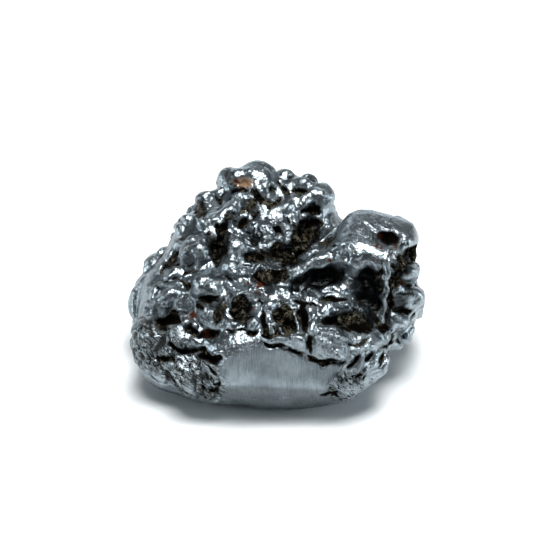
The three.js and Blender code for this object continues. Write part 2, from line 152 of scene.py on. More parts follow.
coarse = dict(
    fillet=0.6,
    square=2.4,
    knobs=[
        (-0.8, 13.6, 1.4, 1.3, 1.8, 0, 0.9), (-5.4, 15.5, 1.2, 1.2, 1.5, 0, 0.5),
        (2.6, 15.1, 1.4, 1.1, 1.6, 0, 0.9), (8.8, 13.5, 1.1, 1, 1.5, 0, 0.8),
        (-8.3, 12, 1.1, 1.3, 1.6, 20, 0.7), (-13.1, 8, 1.2, 1.4, 1.6, 20, 0.8),
        (-14.3, 6, 1, 1.5, 1.6, 10, 0.7), (-4.5, 11.4, 1.6, 1.3, 1.8, 30, 1),
        (-2.2, 12.3, 1.2, 1.1, 1.5, 0, 0.8), (-0.1, 11.6, 1.1, 1.1, 1.5, 0, 0.8),
        (-1.3, 9.8, 1.1, 1.2, 1.5, 0, 0.9), (-6.8, 7.4, 1.5, 1, 1.5, 20, 0.9),
        (-2.2, 5.6, 1.1, 1.9, 1.6, -20, 0.9),  # smooth wedge
        (-5.2, 4.3, 1.5, 1.1, 1.6, 0, 0.8), (-6.3, 0.9, 1.1, 1.2, 1.5, 0, 0.6),
        (-17.2, 3.2, 1.1, 0.9, 1.4, 0, 0.6), (-19, 1, 1.2, 2.2, 1.8, -12, 0.8),
        (-15.3, -0.6, 1.9, 0.8, 1.4, 15, 0.9), (-17.4, -2.4, 1.9, 0.8, 1.5, 28, 0.8),
        (-12.6, -0.9, 1.8, 0.6, 1.2, 4, 0.6), (-22, -7.2, 1.2, 2.8, 2, 0, 0.6),
        (-5, -6.4, 1.3, 1.7, 1.5, 0, 1),  # boulder in the pit
        (-5.4, -8.8, 1.6, 0.8, 1.3, 0, 0.8), (-2.7, -8.8, 0.9, 1, 1.4, 0, 1),
        (0, -5.9, 1, 0.9, 1.3, 0, 0.9), (-0.1, 3.6, 1.3, 1.2, 1.5, 0, 0.9),
        (2.9, 4.6, 1.1, 1, 1.4, 0, 0.8),
        (5.4, 8.8, 1.4, 0.9, 1.4, -15, 0.9),  # pale boulder in the cave
        (6.5, -4.2, 1.4, 1.1, 1.5, -10, 1.1), (9.2, -5.8, 0.9, 0.9, 1.3, 0, 0.8),
        (10.4, -3.2, 2.4, 0.5, 1.2, -8, 0.5), (4.7, -11.2, 1.3, 1, 1.5, 0, 0.8),
        (9.6, -9.9, 1.9, 0.7, 1.4, -8, 0.7), (11.4, -11, 1.9, 0.6, 1.2, -22, 0.6),
        (21.7, -10.3, 1.4, 1.2, 1.8, 0, 1.1), (19.9, -12.2, 1.4, 1.1, 1.6, 0, 0.9),
        (19.9, 1.9, 1.1, 1.4, 1.5, 0, 0.4), (17.8, -15.4, 1.1, 2, 1.6, -28, 0.8),
        (10.1, 5.6, 1.2, 1.1, 1.4, 20, 0.5), (-18, -16.9, 2.8, 1.2, 1.8, -30, 0.5),
    ],
    hollows=[
        (-4.4, 14.2, 1.5, 0.7, 1.5, 5, 0.5),  # stained hollow in the crown
        (6.6, 9.7, 1.9, 0.7, 2, 8, 1.4), (7, 7.4, 1.4, 0.6, 1.6, 10, 0.9),
        (4.9, 3, 1.2, 0.6, 1.6, 25, 1.1), (1.3, 6.7, 1, 1, 1.6, 0, 1.1),
        (-4.4, 7.7, 1.1, 0.9, 1.6, 10, 1.1), (-7.5, 6.5, 0.9, 0.5, 1.3, 0, 0.8),
        (-2.3, 2.2, 1.8, 0.8, 1.7, 0, 1.1), (-1.5, -1.4, 1.5, 0.9, 1.6, 10, 0.9),
        (-0.9, -8.6, 0.5, 2.2, 1.8, 4, 1.4), (5.4, -7.4, 0.8, 2.6, 2, 6, 1.4),
        (6.4, -11.9, 0.6, 1.6, 1.6, 8, 1), (2.5, -8.6, 1.1, 1.6, 1.6, 8, 0.8),
        (-13.3, -2.3, 0.9, 0.6, 1.3, 0, 0.8), (-10, -4.9, 2, 0.6, 1.5, 2, 1.1),
        (-15.6, 2, 0.6, 1.3, 1.3, -20, 0.8), (-17, -14.3, 1.4, 0.5, 1.3, -22, 0.8),
        (10.2, -8.3, 2, 0.6, 1.6, 0, 0.9), (10.6, -4.6, 2.6, 0.6, 1.5, -3, 0.9),
        (0.3, 13.2, 0.8, 0.5, 1.3, -15, 0.9), (4.7, 12.7, 1.5, 0.5, 1.4, -8, 0.9),
        (13.4, -14.8, 0.6, 1.7, 1.5, -42, 1.1), (15.9, -13.9, 0.6, 1.3, 1.5, -30, 1.1),
        (17.8, -14.2, 0.5, 1.3, 1.4, -28, 1), (19.3, -11.8, 0.7, 1.2, 1.4, -50, 0.9),
        (21.8, -6.6, 1.7, 0.6, 1.5, 0, 0.9), (13.6, -6.6, 2.2, 1, 1.6, 0, 0.6),
    ],
    ridges=[
        (1.2, 1, [(-2, 7), (0.5, 8.7), (3, 10), (5.6, 10.9)]),
        (0.9, 0.8, [(-0.9, 5.2), (-0.3, 6.9), (0.8, 7.9), (2, 7.5), (3, 6.3), (3.9, 4.6)]),  # horseshoe
        (1, 0.8, [(-10.5, 7.4), (-8.5, 8.2), (-6.3, 9.4), (-4.8, 11)]),
        (0.6, 0.6, [(-5.3, 6.5), (-4, 5.5), (-3.4, 4), (-2.8, 3.2)]),
        (0.7, 0.7, [(-6.9, -2.6), (-4.5, -3.4), (-2.3, -4.3), (0, -4.6), (3.2, -4.6)]),
        (0.6, 0.6, [(-5.9, -5), (-5.2, -4.1), (-4, -3.8), (-2.9, -4.8), (-2.4, -6.6)]),
        (0.6, 0.7, [(0, -7.2), (0.7, -8.6), (1.7, -10.2)]),  # spike
        (0.7, 0.8, [(6.3, -6.4), (6.9, -7.6), (7, -9.8)]),
        (0.6, 0.6, [(8.6, -5.4), (8.8, -6.5), (10.2, -7.2), (12.6, -5.9)]),
        (0.6, 0.5, [(7.8, -11.1), (9.3, -12.4), (10.6, -13.5)]),
        (0.6, 0.5, [(9.8, -18.6), (11.5, -16.4), (13, -14.1), (14.2, -12.9), (16.6, -12.2)]),
        (0.6, 0.5, [(11, -17.4), (13, -16.4), (14.8, -15.2), (15, -13.9), (16.8, -12.8)]),
        (0.6, 0.5, [(14.7, -17.6), (15.2, -16.6), (16.8, -14.9), (17, -13.6), (18.4, -12.4)]),
        (0.9, 0.7, [(-15.4, -16.6), (-12.4, -18.9), (-9.8, -20.6)]),
        (0.7, 0.6, [(-17.2, 0.2), (-16.2, 2.4), (-14.6, 3.7), (-12.8, 5)]),
        (0.6, 0.6, [(-14, -7.4), (-13.4, -8.6), (-11.9, -9.3)]),
        (0.6, 0.5, [(4.9, 1.4), (6, 2.2), (7.6, 4.2)]),
        (0.5, 0.5, [(-8.8, -5.2), (-7.7, -6.8), (-7.2, -8.3)]),
        (0.5, 0.5, [(-12, -7.8), (-10, -8.7), (-7.9, -8.9)]),
    ],
    grooves=[
        (0.5, 0.9, [(-8.2, 7.3), (-8.5, 4.5), (-8.4, 0.6)]),
        (0.5, 0.8, [(-6.2, 12.7), (-4.4, 12.9), (-2.9, 12.9), (-1.2, 11.3)]),
        (0.5, 0.8, [(1.9, 13.9), (2.6, 12.3)]), (0.45, 0.8, [(-14, -8.1), (-13, -9.6), (-11.3, -10.6)]),
        (0.5, 0.8, [(-15.9, -12), (-14.3, -13), (-12.6, -13.3), (-10.4, -12.8)]),
        (0.4, 0.7, [(-0.8, -11.9), (3, -12.8), (5, -13.5), (6.5, -14.4), (8.5, -14.9), (12.2, -14.7)]),
        (0.4, 0.6, [(-7, -10), (-2.2, -10.2)]),
        (0.4, 0.7, [(-20.1, -8), (-19.8, -6.2), (-19.4, -4.6), (-17.9, -3.3), (-15.3, -2.2)]),
        (0.4, 0.7, [(18.9, -8.4), (19.4, -5.5), (19.4, -2.4), (19.6, 0.6)]),
    ],
)

# Small forms, too small for the faceted solid.
fine = dict(
    fillet=0.7,
    square=2.2,
    knobs=[
        (-9.7, 12.1, 0.9, 0.35, 0.6, 20, 0.4), (-11.4, 8.5, 0.6, 0.5, 0.7, 0, 0.4),
        (0.2, 11.7, 0.6, 0.5, 0.7, 0, 0.4), (0.4, 10.3, 0.8, 0.4, 0.7, -25, 0.4),
        (3.6, 8.4, 0.7, 0.6, 0.8, 0, 0.5), (5.6, 8.4, 0.9, 0.7, 0.9, -20, 0.5),
        (-10.6, 1.7, 0.5, 0.4, 0.6, 0, 0.4), (-9.7, 1.6, 0.4, 0.5, 0.6, 0, 0.4),
        (-10.1, 1.2, 0.4, 0.3, 0.6, 0, 0.4), (-13.8, -2.5, 0.45, 0.4, 0.6, 0, 0.4),
        (-13.9, -3.7, 0.6, 0.45, 0.6, 20, 0.4), (-14.6, -4.6, 0.6, 0.35, 0.5, 30, 0.3),
        (-4.9, 5.4, 0.5, 0.6, 0.7, 0, 0.5), (-3.9, 4.6, 0.5, 0.5, 0.7, 0, 0.5),
        (-3.4, 3.6, 0.4, 0.5, 0.7, 0, 0.5), (0.2, 6.3, 0.5, 0.5, 0.7, 0, 0.5),
        (-0.4, 5.9, 0.4, 0.5, 0.6, 0, 0.4), (0.3, 7.1, 0.5, 0.4, 0.6, 0, 0.4),
        (1.3, -0.7, 0.9, 0.5, 0.8, 25, 0.5), (0.5, 1.2, 0.7, 0.6, 0.8, 0, 0.5),
        (2.8, 0.8, 0.7, 0.7, 0.8, 0, 0.5), (-2, -6.4, 0.5, 1, 0.8, 8, 0.5),
        (-4.9, -5.2, 0.5, 0.5, 0.6, 0, 0.4), (-5.4, -6.4, 0.5, 0.4, 0.6, 0, 0.4),
        (-4, -6.9, 0.5, 0.5, 0.6, 0, 0.4), (2.2, -6.2, 0.7, 0.4, 0.7, 20, 0.5),
        (3.1, -7.4, 0.7, 0.6, 0.7, 0, 0.4), (2.6, -8.8, 0.5, 0.7, 0.6, 0, 0.4),
        (10, -6.2, 0.6, 0.4, 0.7, 0, 0.5), (8.9, -9.6, 0.9, 0.3, 0.6, -3, 0.4),
        (9.7, -10.9, 0.6, 0.4, 0.6, 0, 0.4), (11.2, -11.6, 0.9, 0.4, 0.6, -12, 0.4),
        (10.2, -12, 0.5, 0.3, 0.5, 0, 0.3), (6.8, -13.9, 0.5, 0.25, 0.5, -15, 0.3),
        (8.7, -13.5, 0.3, 0.3, 0.4, 0, 0.3), (14.8, -10.6, 0.35, 0.25, 0.4, 0, 0.3),
        (16.5, -17.6, 0.6, 0.5, 0.8, 0, 0.5), (20.5, -5.8, 0.35, 0.5, 0.5, 20, 0.3),
        (21.3, 5.6, 0.7, 0.5, 0.8, 0, 0.5), (20.3, 3, 0.6, 0.35, 0.6, 0, 0.3),
        (-7.8, -16.9, 0.65, 1.2, 1, 15, 0.5),  # bright chip
    ],
    hollows=[
        (0.3, 13.3, 0.7, 0.4, 0.9, 0, 0.7), (4.9, 12.9, 0.9, 0.4, 0.9, -10, 0.7),
        (2.8, 5.3, 0.5, 0.25, 0.6, 0, 0.5),
        (23.4, -4.9, 1.1, 1, 1.6, 0, 0.5),  # dimple
        (12.6, 2.2, 0.5, 0.6, 0.8, 0, 0.6), (12.1, 8, 0.35, 0.25, 0.5, 0, 0.4),
        (11.9, 5.9, 0.3, 0.6, 0.6, 0, 0.4), (10.4, -20, 0.5, 0.35, 0.7, 0, 0.5),
        (11.3, -19.7, 0.3, 0.2, 0.5, 0, 0.3), (9, -19.9, 0.3, 0.2, 0.5, 0, 0.3),
        (-9.2, -19.2, 0.55, 0.6, 0.8, 0, 0.6), (-8.4, -18.4, 0.4, 0.35, 0.6, 0, 0.5),
        (-9.6, -20.6, 0.6, 0.25, 0.6, 10, 0.4), (-5.8, -18.3, 0.5, 0.12, 0.4, 0, 0.25),
        (13.6, -16.8, 0.8, 0.4, 0.9, 15, 0.7), (15.3, -17.4, 0.35, 0.7, 0.8, -15, 0.6),
        (14.6, -13.3, 0.5, 0.3, 0.7, 30, 0.5), (-9.6, -15.9, 0.4, 1, 0.9, 50, 0.6),
        (-10.2, 9.7, 0.3, 0.9, 0.6, 60, 0.4), (0, -10.4, 1.3, 0.6, 1, 0, 0.6),
    ],
    ridges=[
        (0.35, 0.35, [(-16.8, 1.4), (-16.2, 2.8), (-14.6, 3.8), (-12.4, 5)]),
        (0.35, 0.35, [(-14.4, 0.6), (-14.3, 2), (-13.6, 3.2), (-12.6, 4.6)]),
        (0.3, 0.3, [(-17.8, -0.3), (-16.5, 1.6)]), (0.35, 0.3, [(-10.8, 12), (-9.4, 10.2)]),
        (0.3, 0.3, [(-6.2, 9.5), (-4.7, 10.6), (-3.9, 11.2), (-3.8, 9.5)]),
        (0.35, 0.3, [(-9, 8), (-7.6, 8.5)]), (0.35, 0.35, [(-0.8, 15), (0.8, 13.9)]),
        (0.4, 0.35, [(-6.2, 13.4), (-4.3, 13.1), (-2.7, 13.5)]), (0.3, 0.3, [(3.3, 7.7), (5, 5.9)]),
        (0.3, 0.3, [(3.9, 8), (5.4, 6.2)]), (0.35, 0.35, [(8.1, 4.6), (9.4, 5.5)]),
        (0.35, 0.35, [(4.9, 1.3), (6, 2), (7.4, 3.2)]),
        (0.3, 0.3, [(2.2, 2.3), (3, 1.2), (3.4, 0)]), (0.3, 0.3, [(0.9, 3), (1.8, 1.6)]),
        (0.35, 0.35, [(-3, -0.9), (-1.6, 0.3), (-0.6, 0.2), (0, -0.6)]),
        (0.3, 0.3, [(-0.9, 2), (-0.4, 1.1)]),
        (0.3, 0.3, [(-6.7, -0.1), (-6.4, 0.6), (-5.4, 0.9), (-3, 0.8)]),
        (0.35, 0.35, [(-5.9, -5), (-5.3, -4.1), (-4, -3.7)]),
        (0.35, 0.35, [(-4.2, -2.1), (-2, -3.7), (-0.2, -4.2)]),
        (0.3, 0.3, [(1.5, -2.4), (3, -2.6), (3.1, -4)]),
        (0.35, 0.35, [(4, -3.9), (5.6, -4.9), (7.8, -5.4)]),
        (0.35, 0.35, [(6.8, -7.1), (7.8, -7.7)]), (0.25, 0.25, [(4.7, -8.4), (4.8, -10)]),
        (0.4, 0.4, [(3, -10.9), (5.1, -10), (5.9, -12.3)]),
        (0.35, 0.35, [(-8.8, -5.3), (-7.8, -6.6), (-7.3, -8.2)]),
        (0.3, 0.3, [(-11.1, -6.7), (-9.2, -7), (-8, -8.1)]), (0.3, 0.3, [(-11.2, -5.6), (-9.2, -5.7)]),
        (0.25, 0.25, [(-10.7, -13.9), (-9.7, -13.6), (-8.7, -13.1), (-7.8, -13.4)]),
        (0.3, 0.25, [(-6.9, -9.4), (-5.3, -9.6)]),
        (0.35, 0.35, [(19.4, -9.9), (21, -9.6), (22, -8.3), (23, -7.9)]),
        (0.3, 0.3, [(18.9, 2.4), (19, -1), (18.7, -3.2), (18.4, -6)]),
        (0.3, 0.3, [(19.4, 2.2), (20.6, 0.6)]), (0.3, 0.3, [(20.9, 2.8), (21.3, 0.9)]),
        (0.25, 0.2, [(13, 7.3), (14.4, 7.6)]),
        (0.4, 0.3, [(9.9, 2.9), (11.5, 3.7), (13.2, 4.1), (14.4, 2.4)]),
    ],
    grooves=[
        (0.2, 0.35, [(15.5, 7.4), (16.3, 7), (17, 6.2)]), (0.25, 0.5, [(23, -1.2), (24.4, -2.6)]),
        (0.3, 0.5, [(-19.7, -4.6), (-19.6, -6)]),
        (0.35, 0.5, [(-19.5, -5.9), (-18.5, -4.4), (-17, -3.1)]),
        (0.3, 0.5, [(-17.4, -1.6), (-15, -2.2)]), (0.3, 0.5, [(-17.4, -0.4), (-16.6, 1)]),
        (0.3, 0.5, [(-15.8, -15), (-14, -16.2), (-12, -17.8), (-10.6, -19.3)]),
        (0.25, 0.4, [(-14.9, -17), (-13.6, -17.9), (-12.4, -19.3)]),
        (0.2, 0.3, [(-20, -16.3), (-18, -17.9), (-15.3, -18.4)]),
        (0.35, 0.5, [(-21.3, -8), (-20.2, -7.2), (-19.8, -6.3)]),
        (0.3, 0.5, [(-8.5, 11.8), (-7.7, 10.6)]), (0.3, 0.5, [(-11.8, 9.3), (-10.9, 8.4)]),
        (0.3, 0.5, [(0.7, 4.2), (1.9, 2.2)]), (0.3, 0.5, [(6, 8.3), (4.9, 7.3)]),
        (0.3, 0.5, [(10.9, 4), (9.5, 3.8), (8.3, 2.6)]), (0.25, 0.4, [(21.9, 4.5), (22, 3.6)]),
        (0.15, 0.25, [(-4, -20.3), (-1.5, -20.8), (1, -20.7), (4.5, -19.9)]),
        (0.15, 0.25, [(-5.9, -10.5), (-4.2, -10.7)]),
        (0.3, 0.4, [(12.9, -12.2), (15, -11.7), (16.4, -11.3)]),
    ],
)


def softMin(a, b, reach):
    # the lower of two distances, with a fillet where they meet: min - (reach - |a - b|)^2 / 4 reach
    h = np.maximum(reach - np.abs(a - b), 0)
    return np.minimum(a, b) - h * h / (4 * reach)


def turned(angles):
    # columns are the piece's own axes, turned about X, then Y, then Z
    x, y, z = np.radians(angles)
    aboutX = np.array([[1, 0, 0], [0, np.cos(x), -np.sin(x)], [0, np.sin(x), np.cos(x)]])
    aboutY = np.array([[np.cos(y), 0, np.sin(y)], [0, 1, 0], [-np.sin(y), 0, np.cos(y)]])
    aboutZ = np.array([[np.cos(z), -np.sin(z), 0], [np.sin(z), np.cos(z), 0], [0, 0, 1]])
    return aboutZ @ aboutY @ aboutX


def egg(points, at, size, axes, square):
    # (k - 1) / |gradient of k|, where k is the power mean that is 1 on the skin
    local = (points - at) @ axes / size
    share = np.abs(local) ** (square - 1)
    k = np.maximum((share * np.abs(local)).sum(-1), 1e-9) ** (1 / square)
    slope = np.sqrt(((share / size) ** 2).sum(-1)) / k ** (square - 1)
    return (k - 1) / np.maximum(slope, 1e-3)


def rod(points, start, end, radius):
    # distance to a line between two points, less the radius
    along = end - start
    share = np.clip((points - start) @ along / max(along @ along, 1e-9), 0, 1)
    return np.linalg.norm(points - start - share[..., None] * along, axis=-1) - radius


def wavy(points):
    # moves places by slow sine waves, so that no form is a true egg or a straight strip
    x, y, z = points[:, 0], points[:, 1], points[:, 2]
    slow, quick, far = 1.45, 2.3, 0.2
    sway = [
        np.sin(slow * y + 1.3) + np.sin(quick * z + 0.4),
        np.sin(slow * z + 2.1) + np.sin(quick * x + 5.0),
        np.sin(slow * x + 3.7) + np.sin(quick * y + 0.9),
    ]
    return points + far * np.stack(sway, 1)


def bodyField(points):
    field = None
    for at, size, turn, square in body["masses"]:
        gap = egg(points, np.array(at, float), np.array(size, float), turned(turn), square)
        field = gap if field is None else softMin(field, gap, body["blend"])
    for at, facing, reach in body["flats"]:
        facing = np.array(facing) / np.linalg.norm(facing)
        field = -softMin(-field, -((points - np.array(at)) @ facing), reach)
    return field


def nearForms(points, forms, margin):
    # the corners that each form may reach while they move by less than the margin
    near = []
    for form in forms:
        away = points - form["middle"]
        within = form["span"] + form["reach"] + margin
        near.append(np.flatnonzero(np.einsum("ij,ij->i", away, away) < within**2))
    return near


def formField(points, field, forms, grown, near):
    # adds or cuts each form, at its share of full size, where it can matter
    swayed = wavy(points)
    for form, close in zip(forms, near):
        if not len(close):
            continue
        some = swayed[close]
        if form["kind"] == "egg":
            gap = egg(some, form["at"], form["size"] * grown, form["axes"], form["square"])
        else:
            gap = rod(some, form["start"], form["end"], form["radius"] * grown)
        if form["cut"]:
            field[close] = -softMin(-field[close], gap, form["reach"])
        else:
            field[close] = softMin(field[close], gap, form["reach"])
    return field


def fullField(points, forms):
    return formField(points, bodyField(points), forms, 1.0, nearForms(points, forms, 0.5))


def slopeOf(points, forms):
    step = 0.1
    ahead = [fullField(points + step * axis, forms) for axis in np.eye(3)]
    behind = [fullField(points - step * axis, forms) for axis in np.eye(3)]
    slope = np.stack(ahead, 1) - np.stack(behind, 1)
    return slope / np.linalg.norm(slope, axis=1, keepdims=True)


def seats(places, forms, eye):
    # walks down each line of sight to the skin; a line that misses ends on the skin nearest to it
    places = np.array(places, float) * eye["scale"]
    target = aimPoint + places[:, :1] * eye["right"] + places[:, 1:2] * eye["up"]
    sightLine = target - eye["at"]
    sightLine /= np.linalg.norm(sightLine, axis=1, keepdims=True)
    clearOfSkin = eyeDistance - 28.0
    gone = np.full(len(places), clearOfSkin)
    nearest = np.full(len(places), 1e9)
    best = gone.copy()
    for _ in range(40):
        gap = fullField(eye["at"] + sightLine * gone[:, None], forms)
        best = np.where(gap < nearest, gone, best)
        nearest = np.minimum(gap, nearest)
        gone = gone + np.where(gap > 0.01, np.maximum(0.75 * gap, 0.02), 0)
    seat = eye["at"] + sightLine * best[:, None]
    slope = slopeOf(seat, forms)
    return seat - slope * np.maximum(nearest, 0)[:, None], nearest, slope


def keepOnly(seat, miss, slope, eye):
    # the front eye places everything; the others each what they face most, where the front eye sees
    # nothing and off the band under the face
    if eye is frontEye:
        return miss < 1.5
    away = frontEye["at"] - seat
    seen = (slope * away).sum(1) / np.linalg.norm(away, axis=1)
    facing = np.stack([slope @ other["towards"] for other in hiddenEyes], 1)
    onBand = (seat[:, 1] < -12) & (np.abs(seat[:, 0] - 2) < 14)
    best = facing.max(1) - slope @ eye["towards"] < 1e-9
    return (miss < 0.1) & (seen < -0.12) & best & (seat[:, 2] > 1) & ~onBand


def formsOf(layer, before, eye):
    # knobs and hollows are eggs with axes in the eye's plane, ridges and grooves chains of rods
    right, up, towards = eye["right"], eye["up"], eye["towards"]
    rows = [(row, cut) for name, cut in (("knobs", False), ("hollows", True)) for row in layer[name]]
    chains = [(row, cut) for name, cut in (("ridges", False), ("grooves", True)) for row in layer[name]]
    places = [row[:2] for row, _ in rows] + [stop for (_, _, path), _ in chains for stop in path]
    found, miss, slope = seats(places, before, eye)
    kept = keepOnly(found, miss, slope, eye)
    k = eye["scale"]
    forms = []
    for seat, keep, ((a, u, ra, ru, rd, turn, proud), cut) in zip(found, kept, rows):
        if not keep:
            continue
        c, s = np.cos(np.radians(turn)), np.sin(np.radians(turn))
        axes = np.stack([c * right + s * up, c * up - s * right, towards], 1)
        lift = (rd - proud) if cut else (proud - rd)
        size = np.array((ra, ru, rd)) * k
        at = seat + towards * lift * k
        form = dict(kind="egg", cut=cut, at=at, size=size, axes=axes, square=layer["square"])
        form.update(reach=layer["fillet"] * size.min(), middle=at, span=1.2 * size.max())
        forms.append(form)
    first = len(rows)
    for (radius, proud, path), cut in chains:
        last = first + len(path)
        if kept[first:last].all():
            lift = (radius - proud) if cut else (proud - radius)
            stops = found[first:last] + towards * lift * k
            for start, end in zip(stops[:-1], stops[1:]):
                span = np.linalg.norm(end - start) / 2 + radius * k
                form = dict(kind="rod", cut=cut, start=start, end=end, radius=radius * k)
                form.update(reach=layer["fillet"] * radius * k, middle=(start + end) / 2, span=span)
                forms.append(form)
        first = last
    return forms


def cubeGrid(squares):
    # six sheets of a cube, tangent-spaced to be even on a ball, with their shared edges joined
    side = np.linspace(-1, 1, squares + 1)
    s, t = np.meshgrid(side, side, indexing="ij")
    one = np.ones_like(s)
    sheets = [(one, s, t), (-one, t, s), (t, one, s), (s, -one, t), (s, t, one), (t, s, -one)]
    places = np.concatenate([np.stack([c.ravel() for c in sheet], 1) for sheet in sheets])
    keys = np.round((places + 1) * squares / 2).astype(np.int64)
    code = (keys[:, 0] * (squares + 1) + keys[:, 1]) * (squares + 1) + keys[:, 2]
    first, shared = np.unique(code, return_index=True, return_inverse=True)[1:]
    corner = np.arange((squares + 1) ** 2).reshape(squares + 1, squares + 1)
    a, b = corner[:-1, :-1].ravel(), corner[1:, :-1].ravel()
    c, d = corner[1:, 1:].ravel(), corner[:-1, 1:].ravel()
    sheet = np.concatenate([np.stack([a, b, c], 1), np.stack([a, c, d], 1)])
    faces = np.concatenate([sheet + i * corner.size for i in range(6)])
    directions = np.tan(places[first] * np.pi / 4)
    directions /= np.linalg.norm(directions, axis=1, keepdims=True)
    directions += np.array(body["crowded"])
    directions /= np.linalg.norm(directions, axis=1, keepdims=True)
    return directions, shared.ravel()[faces]


def bareSkin(directions):
    # halves the stretch between the heart and a point outside until it ends on the skin
    heart = np.array(body["heart"], float)
    inside = np.zeros(len(directions))
    outside = np.full(len(directions), 40.0)
    for _ in range(22):
        middle = (inside + outside) / 2
        buried = bodyField(heart + directions * middle[:, None]) < 0
        inside = np.where(buried, middle, inside)
        outside = np.where(buried, outside, middle)
    return heart + directions * inside[:, None]


def facingOut(points, faces):
    # each corner's direction is the sum of its faces' cross products
    a, b, c = points[faces[:, 0]], points[faces[:, 1]], points[faces[:, 2]]
    cross = np.cross(b - a, c - a)
    total = np.zeros_like(points)
    for k in range(3):
        for i in range(3):
            total[:, i] += np.bincount(faces[:, k], cross[:, i], len(points))
    return total / np.maximum(np.linalg.norm(total, axis=1, keepdims=True), 1e-12)


def neighbourMean(values, faces, counts):
    # mean over the corners that share a face
    total = np.zeros_like(values)
    for k in range(3):
        following = values[faces[:, (k + 1) % 3]]
        for i in range(values.shape[1]):
            total[:, i] += np.bincount(faces[:, k], following[:, i], len(values))
    return total / counts[:, None]


def allForms(layers):
    forms = []
    for layer in layers:
        before = list(forms)
        for eye in hiddenEyes + [frontEye]:
            forms = forms + formsOf(layer, before, eye)
    return forms


def evened(points, faces, counts, limit, times):
    # a corner that stands out of its neighbours, or lies in them, by more than the limit gives way
    for _ in range(times):
        drift = neighbourMean(points, faces, counts) - points
        off = np.abs((drift * facingOut(points, faces)).sum(1))
        points = points + 0.6 * drift * smoothStep(off, limit, 2.5 * limit)[:, None]
    return points


def grownSkin(squares, stages=6, passes=3, finishing=8, healing=8):
    # from the bare body, the forms grow to full size in stages; at each pass the skin steps along
    # its own direction onto the field, then its corners even out sideways
    directions, faces = cubeGrid(squares)
    counts = np.bincount(faces.ravel(), minlength=len(directions)).astype(float)
    forms = allForms([broad, coarse, fine])
    print("stone:", len(forms), "forms")
    points = bareSkin(directions)
    for stage in range(1, stages + 1):
        if stage % 2 == 1:
            near = nearForms(points, forms, 2.0)
        for _ in range(finishing if stage == stages else passes):
            field = formField(points, bodyField(points), forms, stage / stages, near)
            out = facingOut(points, faces)
            points = points - np.clip(field, -0.6, 0.6)[:, None] * out
            drift = neighbourMean(points, faces, counts) - points
            drift -= (drift * out).sum(1, keepdims=True) * out
            points = points + 0.5 * drift
    for _ in range(healing):
        # a corner that is astray goes to the middle of its neighbours
        field = formField(points, bodyField(points), forms, 1.0, near)
        stray = np.abs(field) > 0.2
        points = np.where(stray[:, None], neighbourMean(points, faces, counts), points)
        step = np.clip(np.where(stray, 0, field), -0.3, 0.3)
        points = points - step[:, None] * facingOut(points, faces)
    limit = 0.13 * stone["squares"] / squares
    return evened(points, faces, counts, limit, 8), faces, counts


def blurred(values, faces, counts, times):
    for _ in range(times):
        values = neighbourMean(values, faces, counts)
    return values


def smoothStep(values, low, high):
    # 0 below low, 1 above high, 3 t^2 - 2 t^3 between
    t = np.clip((values - low) / (high - low), 0, 1)
    return t * t * (3 - 2 * t)


def lattice(places, seed):
    # a fixed number between -1 and 1 for each whole-numbered place
    x, y, z = places[..., 0], places[..., 1], places[..., 2]
    mixed = (x * 73856093) ^ (y * 19349663) ^ (z * 83492791) ^ (seed * 2654435761)
    mixed = (mixed ^ (mixed >> 13)) * 1274126177 & 0xFFFFFFFF
    return (mixed ^ (mixed >> 16)) % 65536 / 32767.5 - 1


def grain(points, size, seed):
    # value noise: lattice numbers, blended by 3 t^2 - 2 t^3 between places that are one size apart
    scaled = points / size + 1000
    cell = np.floor(scaled).astype(np.int64)
    share = scaled - cell
    share = share * share * (3 - 2 * share)
    total = 0
    for corner in np.ndindex(2, 2, 2):
        weight = np.prod(np.where(np.array(corner) == 1, share, 1 - share), axis=1)
        total = total + weight * lattice(cell + np.array(corner), seed)
    return total


def cells(points, size, seed):
    # distance, in sizes, to the nearest of the points scattered one to each cell
    scaled = points / size + 1000
    cell = np.floor(scaled).astype(np.int64)
    nearest = np.full(len(points), 9.0)
    for step in np.ndindex(3, 3, 3):
        there = cell + np.array(step) - 1
        spot = there + 0.5 + 0.42 * np.stack([lattice(there, seed + k) for k in range(3)], 1)
        nearest = np.minimum(nearest, np.linalg.norm(scaled - spot, axis=1))
    return nearest


def strayed(points, far, size, seed):
    # moves places by three noises, so that no pattern on them is regular
    return points + far * np.stack([grain(points, size, seed + k) for k in range(3)], 1)


def seenAt(points):
    # where the front eye sees each place: millimetres across and up
    away = points - frontEye["at"]
    depth = -(away @ frontEye["towards"])
    across = (away @ frontEye["right"]) * eyeDistance / depth
    return across, (away @ frontEye["up"]) * eyeDistance / depth


def patches(across, up, rows):
    # 1 in the ellipses of the sight plane, fading to 0 at their rims
    strongest = np.zeros(len(across))
    for a, u, halfAcross, halfUp, turn in rows:
        c, s = np.cos(np.radians(turn)), np.sin(np.radians(turn))
        x, y = across - a, up - u
        away = np.hypot((c * x + s * y) / halfAcross, (c * y - s * x) / halfUp)
        strongest = np.maximum(strongest, 1 - smoothStep(away, 0.75, 1.1))
    return strongest


lookNames = ("hollow", "grimyAndShaded", "paintedShade", "rust", "pressed", "scaly", "stain", "crumpled")

